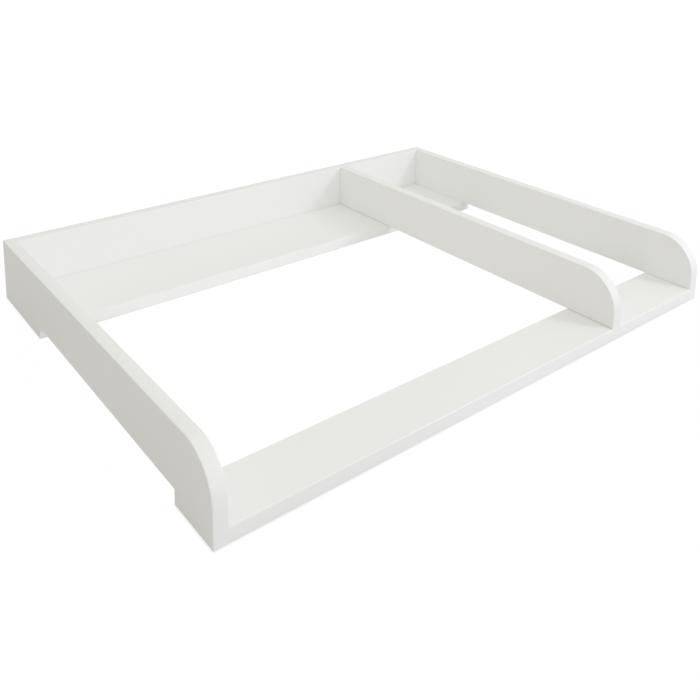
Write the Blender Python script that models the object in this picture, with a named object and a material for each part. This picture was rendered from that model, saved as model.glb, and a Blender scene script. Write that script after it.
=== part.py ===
"""Changing-table top: a shallow white tray that sits on a chest of drawers.

Six edge-banded boards: two side panels with feet, a back panel, a divider, and a
front and a rear board that rest on the chest.  The boards are held by concealed cam
locks, dowels and countersunk screws.  The middle is open: the chest's own top is the
floor under the changing mat.

Frame: metres, +Z up, origin at the middle of the footprint on the resting plane.
+X runs along the width, -Y is the open front, +Y is the back panel.
Places are given from the left, the front and the resting plane; place() converts them.
"""

import math

import bmesh
import bpy
from mathutils import Matrix, Vector

MM = 0.001
X_AXIS, Y_AXIS, Z_AXIS = Vector((1, 0, 0)), Vector((0, 1, 0)), Vector((0, 0, 1))

# Overall
WIDTH = 1080 * MM
DEPTH = 800 * MM
HEIGHT = 116 * MM
BOARD = 22 * MM  # thickness of all six boards
CORNER_R = 66 * MM  # front top corner of the side panels and the divider
ARC_STEPS = 12
GAP = 0.3 * MM  # joint between neighbouring boards

# Edge banding
BAND = 2 * MM
GLUE = 0.15 * MM
EDGE_INSET = BAND + GLUE  # what a banded edge of a board gives up
BAND_ROUND = 1.5 * MM
BAND_ROUND_STEPS = 2

# Boards
FRONT_BOARD_DEPTH = 98 * MM
REAR_BOARD_FRONT = 602.5 * MM
FRONT_FOOT_END = FRONT_BOARD_DEPTH
REAR_FOOT_START = 605 * MM
DIVIDER_LEFT = 800 * MM
INNER_LEFT = BOARD + GAP  # ends of the boards between the side panels
INNER_RIGHT = WIDTH - BOARD - GAP
BACK_FRONT = DEPTH - BOARD  # front face of the back panel
INNER_REAR = BACK_FRONT - GAP  # rear end of the divider and the rear board
DIVIDER_LOW = BOARD + GAP

# Fits and cutters
CLEARANCE = 0.3 * MM  # radial, round cams, bolt threads, dowels and screws
OVERRUN = 1 * MM  # how far a cutter sticks out of the face it opens
LONG_OVERRUN = 2 * MM  # the same, for cam bores and screw holes
SHADE_ANGLE = 40  # degrees, for bands, bolts and dowels
BOARD_SHADE_ANGLE = 30
CUT_SHADE_ANGLE = 35  # for cams and screws
PEG_STEPS = 12  # bolts, dowels, screws and their holes

# Cam: its axis lies along local Z, from its mouth at z = 0
CAM_R = 7.3 * MM
CAM_HEIGHT = 15.5 * MM
CAM_CHAMFER = 0.5 * MM
CAM_STEPS = 24
CAM_BORE_R = CAM_R + CLEARANCE
CAM_BORE_DEPTH = 16.6 * MM
CAM_RECESS = 0.6 * MM
CAM_SETBACK = 34 * MM  # cam axis, from the side panel's inner face
CAM_CAVITY_R = 5.0 * MM
CAM_CAVITY_HALF = 3.8 * MM
CAM_CAVITY_STEPS = 16
CAM_SLOT_HALF = 2.1 * MM
CAM_SLOT_OVERLAP = 0.6 * MM  # how far the slot reaches into the cavity
CAM_SLOT_FROM = -30  # degrees around the cam, the bolt is at 0 when locked
CAM_SLOT_TO = 226
CAM_SLOT_STEP = 8
CAM_WINDOW_AT = 200
CAM_WINDOW_HALF = 3.7 * MM
CAM_WINDOW_INNER = 2.6 * MM
CAM_CROSS = (3.4 * MM, 0.8 * MM, 3 * MM)  # half length, half width, depth

# Cam bolt: heights along it are from the side panel's inner face, into the board
BOLT_BORE_R = 4.0 * MM
BOLT_THREAD_R = 2.6 * MM
BOLT_TIP_R = BOLT_THREAD_R * 0.7
BOLT_TIP_LENGTH = 1.2 * MM
BOLT_THREAD_LENGTH = 11.5 * MM
BOLT_PILOT_R = BOLT_THREAD_R + CLEARANCE
BOLT_PILOT_DEPTH = BOLT_THREAD_LENGTH + 1 * MM
BOLT_SHANK_R = 3.4 * MM
BOLT_SHANK_START = 0.4 * MM
BOLT_SHANK_END = CAM_SETBACK - CAM_BORE_R - 0.6 * MM
BOLT_SHANK_TAPER = 0.6 * MM
BOLT_NECK_R = 1.5 * MM
BOLT_NECK_END = CAM_SETBACK - 2.6 * MM
BOLT_HEAD_R = 3.2 * MM
BOLT_HEAD_START = CAM_SETBACK - 2.2 * MM
BOLT_HEAD_END = CAM_SETBACK - 0.6 * MM
BOLT_HEAD_END_R = BOLT_HEAD_R * 0.72

# Dowels
DOWEL_R = 4.0 * MM
DOWEL_LENGTH = 40 * MM
DOWEL_IN_PANEL = 12 * MM
DOWEL_IN_BOARD = DOWEL_LENGTH - DOWEL_IN_PANEL
DOWEL_HOLE_R = DOWEL_R + CLEARANCE
DOWEL_HOLE_SPARE = 0.4 * MM
DOWEL_CHAMFER = 1.0 * MM

# Countersunk screws
SCREW_LENGTH = 45 * MM
SCREW_POINT = 4 * MM
SCREW_HEAD_R = 4.0 * MM
SCREW_SHANK_R = 1.9 * MM
SCREW_CONE_START = 0.45 * MM
SCREW_CONE_END = 2.75 * MM
SCREW_RECESS = 0.6 * MM
SCREW_HOLE_SPARE = 0.6 * MM
SCREW_CROSS = (2.3 * MM, 0.55 * MM, 2.0 * MM)  # half length, half width, depth

# Where the fittings sit
MID_BOARD = BOARD / 2
MID_BACK_Y = DEPTH - BOARD / 2
BACK_CAM_Z = HEIGHT / 2
BACK_DOWEL_PITCH = 32 * MM
REAR_CAM_Y = 690 * MM
REAR_DOWEL_YS = (640 * MM, 740 * MM)
DIVIDER_MID_X = DIVIDER_LEFT + BOARD / 2

# Side panel, its inner face and the direction from it into the boards
SIDES = (("left", BOARD, X_AXIS), ("right", WIDTH - BOARD, -X_AXIS))
BOARD_NAMES = {"front": "front_board", "rear": "rear_board", "back": "back_panel"}

# Board, y, z, direction the cam's mouth faces
CAM_PLACES = (
    ("front", 37 * MM, MID_BOARD, -Z_AXIS),
    ("rear", REAR_CAM_Y, MID_BOARD, -Z_AXIS),
    ("back", MID_BACK_Y, BACK_CAM_Z, Y_AXIS),
)

# Board, end of the name, y, z
DOWEL_PLACES = (
    ("front", "", 69 * MM, MID_BOARD),
    ("rear", "_1", REAR_DOWEL_YS[0], MID_BOARD),
    ("rear", "_2", REAR_DOWEL_YS[1], MID_BOARD),
    ("back", "_1", MID_BACK_Y, BACK_CAM_Z - BACK_DOWEL_PITCH),
    ("back", "_2", MID_BACK_Y, BACK_CAM_Z + BACK_DOWEL_PITCH),
)

# Row, screw mouths, driving direction, boards it passes through
SCREW_ROWS = (
    (
        "divider_front",
        [(DIVIDER_MID_X, y, 0) for y in (30 * MM, 75 * MM)],
        Z_AXIS,
        ("front_board", "divider"),
    ),
    (
        "divider_rear",
        [(DIVIDER_MID_X, y, 0) for y in (640 * MM, 740 * MM)],
        Z_AXIS,
        ("rear_board", "divider"),
    ),
    (
        "divider_back",
        [(DIVIDER_MID_X, DEPTH, z) for z in (48 * MM, 90 * MM)],
        -Y_AXIS,
        ("back_panel", "divider"),
    ),
    (
        "rear_board",
        [((150 + 260 * i) * MM, DEPTH, MID_BOARD) for i in range(4)],
        -Y_AXIS,
        ("back_panel", "rear_board"),
    ),
)


# Scene, materials and objects


def clear_scene():
    for obj in list(bpy.data.objects):
        bpy.data.objects.remove(obj, do_unlink=True)


def place(x, y, z):
    """Turns distances from the left, the front and the resting plane into the frame."""
    return Vector((x - WIDTH / 2, y - DEPTH / 2, z))


def along(start, direction):
    """The transform whose +Z runs from start in this direction."""
    turn = direction.to_track_quat("Z", "Y").to_matrix().to_4x4()
    return Matrix.Translation(start) @ turn


def material(name, color, roughness, metallic=0.0):
    made = bpy.data.materials.new(name)
    made.use_nodes = True
    shader = made.node_tree.nodes["Principled BSDF"]
    shader.inputs["Base Color"].default_value = (*color, 1)
    shader.inputs["Roughness"].default_value = roughness
    shader.inputs["Metallic"].default_value = metallic
    made.diffuse_color = (*color, 1)
    return made


def make_finishes():
    return {
        "board": material("white_melamine_board", color=(0.80, 0.80, 0.78), roughness=0.38),
        "band": material("white_edge_band", color=(0.78, 0.78, 0.76), roughness=0.32),
        "zinc": material(
            "zinc_die_cast", color=(0.56, 0.56, 0.57), roughness=0.42, metallic=1.0
        ),
        "steel": material(
            "zinc_plated_steel", color=(0.66, 0.66, 0.68), roughness=0.30, metallic=1.0
        ),
        "beech": material("beech_dowel", color=(0.62, 0.44, 0.27), roughness=0.65),
    }


def shade(mesh, angle):
    """Smooth shading, with edges steeper than the angle in degrees kept sharp."""
    mesh.shade_smooth()
    mesh.set_sharp_from_angle(angle=math.radians(angle))


def finished_mesh(name, solid, finish=None, smooth_angle=None):
    bmesh.ops.recalc_face_normals(solid, faces=solid.faces)
    mesh = bpy.data.meshes.new(name)
    solid.to_mesh(mesh)
    solid.free()
    if smooth_angle is not None:
        shade(mesh, smooth_angle)
    if finish:
        mesh.materials.append(finish)
    return mesh


def add_object(name, mesh, matrix=None):
    obj = bpy.data.objects.new(name, mesh)
    if matrix is not None:
        obj.matrix_world = matrix
    bpy.context.scene.collection.objects.link(obj)
    return obj


def mesh_object(name, solid, finish=None, smooth_angle=None):
    return add_object(name, finished_mesh(name, solid, finish, smooth_angle))


# Solids


def prism(points, vector):
    """A closed prism: the polygon of the points, swept along the vector."""
    solid = bmesh.new()
    face = solid.faces.new([solid.verts.new(point) for point in points])
    swept = bmesh.ops.extrude_face_region(solid, geom=[face])
    moved = [item for item in swept["geom"] if isinstance(item, bmesh.types.BMVert)]
    bmesh.ops.translate(solid, verts=moved, vec=vector)
    return solid


def box(low, high):
    solid = bmesh.new()
    scale = Matrix.Diagonal((*(high - low), 1))
    bmesh.ops.create_cube(
        solid, size=1, matrix=Matrix.Translation((low + high) / 2) @ scale
    )
    return solid


def add_turned(solid, profile, steps, matrix):
    """Adds a closed turned solid around local Z.

    The profile lists (radius, height) from one pole to the other.
    """
    rings = []
    for radius, height in profile:
        angles = [0] if radius == 0 else [2 * math.pi * i / steps for i in range(steps)]
        points = [Vector((radius * math.cos(a), radius * math.sin(a), height)) for a in angles]
        rings.append([solid.verts.new(matrix @ point) for point in points])
    for lower, upper in zip(rings, rings[1:]):
        for i in range(steps):
            j = (i + 1) % steps
            if len(lower) == 1:
                solid.faces.new((lower[0], upper[j], upper[i]))
            elif len(upper) == 1:
                solid.faces.new((lower[i], lower[j], upper[0]))
            else:
                solid.faces.new((lower[i], lower[j], upper[j], upper[i]))


def turned(profile, steps):
    solid = bmesh.new()
    add_turned(solid, profile, steps, Matrix.Identity(4))
    return solid


def add_cylinder(solid, radius, start, direction, length, steps):
    profile = [(0, 0), (radius, 0), (radius, length), (0, length)]
    add_turned(solid, profile, steps, along(start, direction))


def add_bore(solid, radius, mouth, direction, depth, overrun=OVERRUN, steps=PEG_STEPS):
    """A round cutter of this depth that also sticks out of the mouth by the overrun."""
    start = mouth - direction * overrun
    add_cylinder(solid, radius, start, direction, depth + overrun, steps)


def ring_sector(inner, outer, low, high, start, end):
    """A block of a ring between two angles in degrees."""
    count = max(2, math.ceil((end - start) / CAM_SLOT_STEP))
    angles = [math.radians(start + (end - start) * i / count) for i in range(count + 1)]
    points = [Vector((outer * math.cos(a), outer * math.sin(a), low)) for a in angles]
    points += [
        Vector((inner * math.cos(a), inner * math.sin(a), low)) for a in reversed(angles)
    ]
    return prism(points, Vector((0, 0, high - low)))


def cross_recess(half_length, half_width, depth):
    """The two bars of a cross-head recess, cut upwards from local z = 0."""
    return [
        box(Vector((-x, -y, -OVERRUN)), Vector((x, y, depth)))
        for x, y in ((half_length, half_width), (half_width, half_length))
    ]


# Boolean cuts


def cut(obj, name, cutter_solid):
    cutter = mesh_object(f"{obj.name}_{name}_cutter", cutter_solid)
    cutter.hide_render = True
    cutter.display_type = "WIRE"
    modifier = obj.modifiers.new(name, "BOOLEAN")
    modifier.operation = "DIFFERENCE"
    modifier.solver = "EXACT"
    modifier.object = cutter


def cut_mesh(name, blank, cutters, finish):
    """The mesh left of the blank once the cutters are taken out; no objects remain."""
    obj = mesh_object(name + "_blank", blank)
    for i, cutter in enumerate(cutters):
        cut(obj, f"{name}{i}", cutter)
    bpy.context.view_layer.update()
    graph = bpy.context.evaluated_depsgraph_get()
    mesh = bpy.data.meshes.new_from_object(obj.evaluated_get(graph))
    mesh.name = name
    mesh.materials.clear()
    mesh.materials.append(finish)
    shade(mesh, CUT_SHADE_ANGLE)
    for modifier in list(obj.modifiers):
        bpy.data.objects.remove(modifier.object, do_unlink=True)
    bpy.data.objects.remove(obj, do_unlink=True)
    return mesh


# Boards and banding


def corner_path(inset, rear_y, low_z):
    """The top, the rounded corner and the front of an upright board.

    Lists (y, z, outward y, outward z).
    """
    radius = CORNER_R - inset
    path = [(rear_y, HEIGHT - inset, 0.0, 1.0)]
    for i in range(ARC_STEPS + 1):
        angle = math.pi / 2 * (1 + i / ARC_STEPS)
        out_y, out_z = math.cos(angle), math.sin(angle)
        path.append(
            (CORNER_R + radius * out_y, HEIGHT - CORNER_R + radius * out_z, out_y, out_z)
        )
    path.append((inset, low_z, -1.0, 0.0))
    return path


def upright_board(name, left_x, rear_y, low_z, finish, foot_outline=()):
    """A side panel or the divider; the foot outline lists (y, z) along its underside."""
    outline = [(y, z) for y, z, _, _ in corner_path(EDGE_INSET, rear_y, low_z)]
    outline += [*foot_outline, (rear_y, low_z)]
    solid = prism([place(left_x, y, z) for y, z in outline], X_AXIS * BOARD)
    return mesh_object(name, solid, finish, BOARD_SHADE_ANGLE)


def build_boards(finish):
    feet = (
        (FRONT_FOOT_END, 0.0),
        (FRONT_FOOT_END, BOARD),
        (REAR_FOOT_START, BOARD),
        (REAR_FOOT_START, 0.0),
    )
    boards = {}
    for name, left_x in (("side_panel_left", 0.0), ("side_panel_right", WIDTH - BOARD)):
        boards[name] = upright_board(name, left_x, DEPTH - EDGE_INSET, 0.0, finish, feet)
    boards["divider"] = upright_board(
        "divider", DIVIDER_LEFT, INNER_REAR, DIVIDER_LOW, finish
    )
    # Name, front y, rear y, top z
    for name, front_y, rear_y, top_z in (
        ("back_panel", BACK_FRONT, DEPTH, HEIGHT - EDGE_INSET),
        ("front_board", EDGE_INSET, FRONT_BOARD_DEPTH - EDGE_INSET, BOARD),
        ("rear_board", REAR_BOARD_FRONT + EDGE_INSET, INNER_REAR, BOARD),
    ):
        solid = box(place(INNER_LEFT, front_y, 0), place(INNER_RIGHT, rear_y, top_z))
        boards[name] = mesh_object(name, solid, finish)
    return boards


def band_section():
    """The banding's cross-section: (across, outward) with its two outer corners rounded."""
    section = [(0.0, 0.0), (0.0, BAND - BAND_ROUND)]
    for i in range(1, BAND_ROUND_STEPS + 1):
        angle = math.pi / 2 * i / BAND_ROUND_STEPS
        section.append(
            (
                BAND_ROUND * (1 - math.cos(angle)),
                BAND - BAND_ROUND + BAND_ROUND * math.sin(angle),
            )
        )
    mirrored = [(BOARD - across, outward) for across, outward in reversed(section)]
    return section + mirrored


def swept_band(name, stations, across, finish):
    """A band through the stations: each is a point and the direction outward."""
    solid = bmesh.new()
    section = band_section()
    rings = [
        [solid.verts.new(point + across * width + outward * rise) for width, rise in section]
        for point, outward in stations
    ]
    for first, second in zip(rings, rings[1:]):
        for i in range(len(first)):
            j = (i + 1) % len(first)
            solid.faces.new((first[i], first[j], second[j], second[i]))
    solid.faces.new(rings[0])
    solid.faces.new(rings[-1])
    mesh_object(name, solid, finish, SHADE_ANGLE)


def build_bands(finish):
    # Over the top, round the corner and down the front: name, left x, rear y, low z
    for name, left_x, rear_y, low_z in (
        ("left_panel", 0.0, DEPTH, 0.0),
        ("right_panel", WIDTH - BOARD, DEPTH, 0.0),
        ("divider", DIVIDER_LEFT, INNER_REAR, DIVIDER_LOW),
    ):
        stations = [
            (place(left_x, y, z), Vector((0, out_y, out_z)))
            for y, z, out_y, out_z in corner_path(BAND, rear_y, low_z)
        ]
        swept_band("edge_band_" + name, stations, X_AXIS, finish)

    # Up the rear edges of the side panels
    for name, left_x in (("left_panel_rear", 0.0), ("right_panel_rear", WIDTH - BOARD)):
        stations = [
            (place(left_x, DEPTH - BAND, z), Y_AXIS) for z in (0, HEIGHT - EDGE_INSET)
        ]
        swept_band("edge_band_" + name, stations, X_AXIS, finish)

    # Along the width: name, y, z, across, outward
    for name, y, z, across, outward in (
        ("back_panel", BACK_FRONT, HEIGHT - BAND, Y_AXIS, Z_AXIS),
        ("front_board_front", BAND, 0, Z_AXIS, -Y_AXIS),
        ("front_board_rear", FRONT_BOARD_DEPTH - BAND, 0, Z_AXIS, Y_AXIS),
        ("rear_board", REAR_BOARD_FRONT + BAND, 0, Z_AXIS, -Y_AXIS),
    ):
        stations = [(place(x, y, z), outward) for x in (INNER_LEFT, INNER_RIGHT)]
        swept_band("edge_band_" + name, stations, across, finish)


# Fitting meshes


def cam_mesh(finish):
    """The cam: a plug with a cross recess in its mouth (local z = 0), a hollow for the
    bolt's head, a slot round its wall for the bolt's neck and a window to let the head in."""
    axis_z = BOARD / 2 - CAM_RECESS  # height of the bolt's axis
    blank = turned(
        [
            (0, 0),
            (CAM_R - CAM_CHAMFER, 0),
            (CAM_R, CAM_CHAMFER),
            (CAM_R, CAM_HEIGHT - CAM_CHAMFER),
            (CAM_R - CAM_CHAMFER, CAM_HEIGHT),
            (0, CAM_HEIGHT),
        ],
        CAM_STEPS,
    )
    cavity = bmesh.new()
    add_cylinder(
        cavity,
        CAM_CAVITY_R,
        Vector((0, 0, axis_z - CAM_CAVITY_HALF)),
        Z_AXIS,
        2 * CAM_CAVITY_HALF,
        CAM_CAVITY_STEPS,
    )
    slot = ring_sector(
        inner=CAM_CAVITY_R - CAM_SLOT_OVERLAP,
        outer=CAM_R + OVERRUN,
        low=axis_z - CAM_SLOT_HALF,
        high=axis_z + CAM_SLOT_HALF,
        start=CAM_SLOT_FROM,
        end=CAM_SLOT_TO,
    )
    window = box(
        Vector((CAM_WINDOW_INNER, -CAM_WINDOW_HALF, axis_z - CAM_WINDOW_HALF)),
        Vector((CAM_R + OVERRUN, CAM_WINDOW_HALF, axis_z + CAM_WINDOW_HALF)),
    )
    bmesh.ops.rotate(
        window,
        verts=window.verts,
        cent=(0, 0, 0),
        matrix=Matrix.Rotation(math.radians(CAM_WINDOW_AT), 3, "Z"),
    )
    return cut_mesh("cam", blank, [cavity, slot, window, *cross_recess(*CAM_CROSS)], finish)


def bolt_mesh(finish):
    """The cam bolt: its thread runs down from local z = 0, its head is at the cam's axis."""
    profile = [
        (0, -BOLT_THREAD_LENGTH),
        (BOLT_TIP_R, -BOLT_THREAD_LENGTH),
        (BOLT_THREAD_R, -BOLT_THREAD_LENGTH + BOLT_TIP_LENGTH),
        (BOLT_THREAD_R, BOLT_SHANK_START),
        (BOLT_SHANK_R, BOLT_SHANK_START),
        (BOLT_SHANK_R, BOLT_SHANK_END),
        (BOLT_NECK_R, BOLT_SHANK_END + BOLT_SHANK_TAPER),
        (BOLT_NECK_R, BOLT_NECK_END),
        (BOLT_HEAD_R, BOLT_HEAD_START),
        (BOLT_HEAD_R, BOLT_HEAD_END),
        (BOLT_HEAD_END_R, CAM_SETBACK),
        (0, CAM_SETBACK),
    ]
    return finished_mesh("cam_bolt", turned(profile, PEG_STEPS), finish, SHADE_ANGLE)


def dowel_mesh(finish):
    profile = [
        (0, -DOWEL_IN_PANEL),
        (DOWEL_R - DOWEL_CHAMFER, -DOWEL_IN_PANEL),
        (DOWEL_R, -DOWEL_IN_PANEL + DOWEL_CHAMFER),
        (DOWEL_R, DOWEL_IN_BOARD - DOWEL_CHAMFER),
        (DOWEL_R - DOWEL_CHAMFER, DOWEL_IN_BOARD),
        (0, DOWEL_IN_BOARD),
    ]
    return finished_mesh("dowel", turned(profile, PEG_STEPS), finish, SHADE_ANGLE)


def screw_cone(extra=0.0):
    """The two ends of the cone under the head, grown by extra for the hole."""
    return [
        (SCREW_HEAD_R + extra, SCREW_CONE_START + extra / 2),
        (SCREW_SHANK_R + extra, SCREW_CONE_END + extra / 2),
    ]


def screw_mesh(finish):
    profile = [
        (0, 0),
        (SCREW_HEAD_R, 0),
        *screw_cone(),
        (SCREW_SHANK_R, SCREW_LENGTH - SCREW_POINT),
        (0, SCREW_LENGTH),
    ]
    return cut_mesh("screw", turned(profile, PEG_STEPS), cross_recess(*SCREW_CROSS), finish)


# Fitting the boards together


def add_screw_hole(solid, mouth, direction):
    """The countersink and shank hole of one screw, from the outer face inwards."""
    depth = SCREW_LENGTH + SCREW_RECESS + SCREW_HOLE_SPARE
    profile = [
        (0, -LONG_OVERRUN),
        (SCREW_HEAD_R + CLEARANCE, -LONG_OVERRUN),
        *[(radius, z + SCREW_RECESS) for radius, z in screw_cone(CLEARANCE)],
        (SCREW_SHANK_R + CLEARANCE, depth),
        (0, depth),
    ]
    add_turned(solid, profile, PEG_STEPS, along(mouth, direction))


def fit_cams(finishes, cam_bores, holes):
    cam = cam_mesh(finishes["zinc"])
    bolt = bolt_mesh(finishes["steel"])
    for side, face_x, inward in SIDES:
        for end, y, z, mouth in CAM_PLACES:
            board = BOARD_NAMES[end]
            face = place(face_x, y, z)
            on_face = face + inward * CAM_SETBACK + mouth * BOARD / 2
            # The cam's local +Z runs from its mouth into the board, its local +X at the bolt.
            into, to_bolt = -mouth, -inward
            turn = Matrix((to_bolt, into.cross(to_bolt), into)).transposed().to_4x4()
            cam_place = Matrix.Translation(on_face + into * CAM_RECESS) @ turn
            add_object(f"cam_{end}_{side}", cam, cam_place)
            add_object(f"cam_bolt_{end}_{side}", bolt, along(face, inward))
            add_bore(
                cam_bores[board],
                CAM_BORE_R,
                on_face,
                into,
                CAM_BORE_DEPTH,
                overrun=LONG_OVERRUN,
                steps=CAM_STEPS,
            )
            add_bore(holes[board], BOLT_BORE_R, face, inward, CAM_SETBACK)
            panel = holes["side_panel_" + side]
            add_bore(panel, BOLT_PILOT_R, face, -inward, BOLT_PILOT_DEPTH)


def fit_dowels(finish, holes):
    dowel = dowel_mesh(finish)
    for side, face_x, inward in SIDES:
        for end, number, y, z in DOWEL_PLACES:
            face = place(face_x, y, z)
            add_object(f"dowel_{end}_{side}{number}", dowel, along(face, inward))
            for board, direction, length in (
                (BOARD_NAMES[end], inward, DOWEL_IN_BOARD),
                ("side_panel_" + side, -inward, DOWEL_IN_PANEL),
            ):
                depth = length + DOWEL_HOLE_SPARE
                add_bore(holes[board], DOWEL_HOLE_R, face, direction, depth)


def fit_screws(finish, holes):
    screw = screw_mesh(finish)
    for row, points, direction, through in SCREW_ROWS:
        for number, point in enumerate(points, 1):
            mouth = place(*point)
            head = mouth + direction * SCREW_RECESS
            add_object(f"screw_{row}_{number}", screw, along(head, direction))
            for board in through:
                add_screw_hole(holes[board], mouth, direction)


def build():
    clear_scene()
    finishes = make_finishes()
    boards = build_boards(finishes["board"])
    build_bands(finishes["band"])

    cam_bores = {name: bmesh.new() for name in BOARD_NAMES.values()}
    holes = {name: bmesh.new() for name in boards}
    fit_cams(finishes, cam_bores, holes)
    fit_dowels(finishes["beech"], holes)
    fit_screws(finishes["steel"], holes)
    for modifier_name, cutters in (("cam_bores", cam_bores), ("holes", holes)):
        for board, cutter in cutters.items():
            cut(boards[board], modifier_name, cutter)


build()
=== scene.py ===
"""Looks of the changing-table top: fine boards, rounded edge banding, fittings, light and camera."""

import math

import bmesh
import bpy
from mathutils import Matrix, Vector

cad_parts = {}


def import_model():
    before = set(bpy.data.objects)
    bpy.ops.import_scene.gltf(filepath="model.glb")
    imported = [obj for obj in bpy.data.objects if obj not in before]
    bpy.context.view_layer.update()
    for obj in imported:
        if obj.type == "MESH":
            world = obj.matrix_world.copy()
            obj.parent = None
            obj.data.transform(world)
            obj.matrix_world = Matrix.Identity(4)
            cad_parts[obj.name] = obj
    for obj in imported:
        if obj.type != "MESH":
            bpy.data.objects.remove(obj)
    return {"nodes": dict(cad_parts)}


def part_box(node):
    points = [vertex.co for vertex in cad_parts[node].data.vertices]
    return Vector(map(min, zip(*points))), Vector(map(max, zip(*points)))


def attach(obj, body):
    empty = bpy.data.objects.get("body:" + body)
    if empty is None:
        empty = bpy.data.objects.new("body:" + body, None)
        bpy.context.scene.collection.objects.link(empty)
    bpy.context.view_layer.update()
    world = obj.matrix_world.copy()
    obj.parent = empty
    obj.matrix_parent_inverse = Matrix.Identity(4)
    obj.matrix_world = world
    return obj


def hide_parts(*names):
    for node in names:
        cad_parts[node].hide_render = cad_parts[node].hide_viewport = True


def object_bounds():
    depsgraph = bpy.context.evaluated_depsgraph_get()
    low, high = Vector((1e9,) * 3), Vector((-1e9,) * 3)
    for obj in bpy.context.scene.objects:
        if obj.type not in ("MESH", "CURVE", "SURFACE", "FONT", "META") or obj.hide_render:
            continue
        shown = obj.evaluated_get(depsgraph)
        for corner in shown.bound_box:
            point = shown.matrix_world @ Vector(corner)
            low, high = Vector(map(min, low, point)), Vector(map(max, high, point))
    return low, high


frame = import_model()
CAD_BOX = [list(corner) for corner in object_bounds()]

MM = 0.001
LOW, HIGH = Vector(CAD_BOX[0]), Vector(CAD_BOX[1])
X_AXIS, Y_AXIS, Z_AXIS = Vector((1, 0, 0)), Vector((0, 1, 0)), Vector((0, 0, 1))

# Sizes read from the CAD nodes
WIDTH, DEPTH, HEIGHT = HIGH - LOW
LEFT_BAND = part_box("edge_band_left_panel")
BOARD = LEFT_BAND[1].x - LEFT_BAND[0].x
FRONT_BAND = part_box("edge_band_front_board_front")
BAND = FRONT_BAND[1].y - FRONT_BAND[0].y
GAP = FRONT_BAND[0].x - LEFT_BAND[1].x
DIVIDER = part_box("edge_band_divider")
REAR_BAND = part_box("edge_band_rear_board")
FRONT_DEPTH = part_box("edge_band_front_board_rear")[1].y - LOW.y
REAR_START = REAR_BAND[0].y - LOW.y
CORNER_R = 66 * MM
FRONT_FOOT = 98 * MM
REAR_FOOT_START = 605 * MM
GLUE = 0.02 * MM
BAND_ROUND = 1.6 * MM
ARRIS = 0.45 * MM
ARC_STEPS = 64
ROUND_STEPS = 6

# Fittings, as in the CAD
CAM_R, CAM_HEIGHT, CAM_BORE_R, CAM_BORE_DEPTH = 7.3 * MM, 15.5 * MM, 7.6 * MM, 16.6 * MM
CAM_RECESS, CAM_SETBACK = 0.6 * MM, 34 * MM
CAM_CAVITY_R, CAM_CAVITY_HALF, CAM_SLOT_HALF = 5.0 * MM, 3.8 * MM, 2.1 * MM
SCREW_LENGTH, SCREW_HEAD_R, SCREW_R, SCREW_RECESS = 45 * MM, 4.0 * MM, 1.9 * MM, 0.6 * MM
DOWEL_R = 4.0 * MM


def place(x, y, z):
    """From distances from the left, the front and the resting plane."""
    return Vector((LOW.x + x, LOW.y + y, LOW.z + z))


def along(start, direction):
    return (
        Matrix.Translation(start)
        @ direction.to_track_quat("Z", "Y").to_matrix().to_4x4()
    )


# ---------------------------------------------------------------- materials


class Nodes:
    """A short way to write a node tree."""

    def __init__(self, name):
        self.material = bpy.data.materials.new(name)
        self.material.use_nodes = True
        self.tree = self.material.node_tree
        self.shader = self.tree.nodes["Principled BSDF"]

    def add(self, kind, **settings):
        node = self.tree.nodes.new("ShaderNode" + kind)
        inputs = settings.pop("inputs", {})
        for key, value in settings.items():
            setattr(node, key, value)
        for key, value in inputs.items():
            if isinstance(value, bpy.types.NodeSocket):
                self.tree.links.new(value, node.inputs[key])
            else:
                node.inputs[key].default_value = value
        return node

    def link(self, source, socket):
        self.tree.links.new(source, self.shader.inputs[socket])

    def noise(self, vector, scale, detail=2.0, roughness=0.5):
        return self.add(
            "TexNoise",
            inputs={
                "Vector": vector,
                "Scale": scale,
                "Detail": detail,
                "Roughness": roughness,
            },
        ).outputs["Fac"]

    def span(self, value, low, high, from_low=0.3, from_high=0.7):
        return self.add(
            "MapRange",
            inputs={
                "Value": value,
                "From Min": from_low,
                "From Max": from_high,
                "To Min": low,
                "To Max": high,
            },
        ).outputs["Result"]

    def mix(self, factor, first, second):
        node = self.add("Mix", data_type="RGBA")
        for socket, value in ((0, factor), (6, first), (7, second)):
            if isinstance(value, bpy.types.NodeSocket):
                self.tree.links.new(value, node.inputs[socket])
            else:
                node.inputs[socket].default_value = value
        return node.outputs[2]

    def stretched(self, scale):
        coords = self.add("TexCoord").outputs["Object"]
        return self.add("Mapping", inputs={"Vector": coords, "Scale": scale}).outputs[
            "Vector"
        ]

    def bumps(self, *layers):
        """Stacked bumps: (height, strength, distance in metres)."""
        normal = None
        for height, strength, distance in layers:
            inputs = {"Height": height, "Strength": strength, "Distance": distance}
            if normal is not None:
                inputs["Normal"] = normal
            normal = self.add("Bump", inputs=inputs).outputs["Normal"]
        self.link(normal, "Normal")
        return normal


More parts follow.
